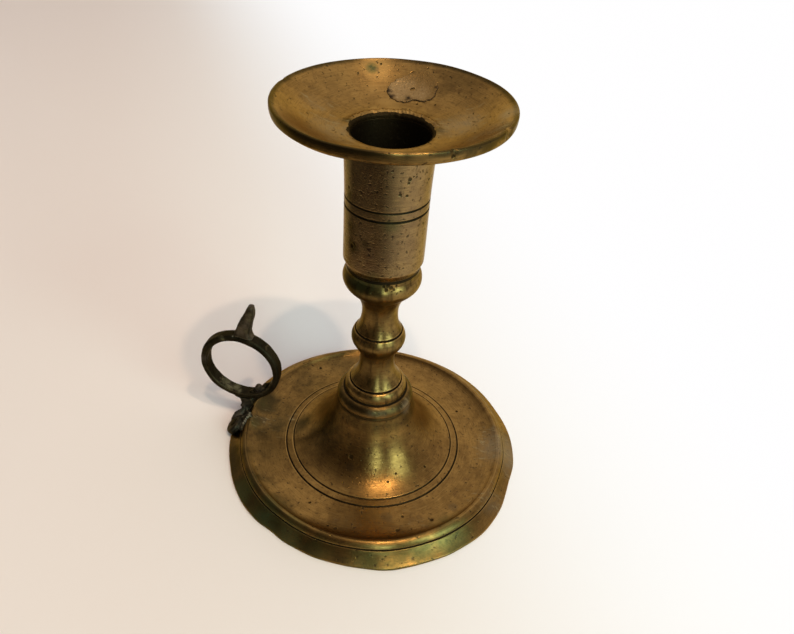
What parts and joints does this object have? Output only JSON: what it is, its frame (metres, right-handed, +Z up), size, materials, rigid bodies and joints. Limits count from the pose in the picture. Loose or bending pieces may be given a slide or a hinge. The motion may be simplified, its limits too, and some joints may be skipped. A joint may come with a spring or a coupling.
{
  "type": "chamberstick",
  "caption": "Turned chamberstick with a dished drip pan, a baluster stem, a wide saucer base and an upright finger ring with a thumb spur riveted to its skirt.",
  "frame": {"origin": "middle of the footprint of the whole object, at the bottom plane of the foot", "axes": "+Z runs up the stem, out of the candle bore; +X points away from the finger ring; the ring stands on the -X side in the XZ plane"},
  "size_m": [0.1098, 0.0988, 0.124],
  "materials": {
    "turned_metal": "turned, with an old brown patina worn bright on the edges",
    "handle_metal": "dark, rough patina, slightly rubbed on the spur and the band"
  },
  "bodies": {
    "root": {"saucer_base": "turned_metal", "stem": "turned_metal", "stem_washer": "turned_metal", "stem_nut": "turned_metal", "candle_socket": "turned_metal", "drip_pan": "turned_metal", "finger_ring": "handle_metal", "thumb_spur": "handle_metal", "ring_foot": "handle_metal", "ring_rivets": "handle_metal"}
  },
  "joints": []
}
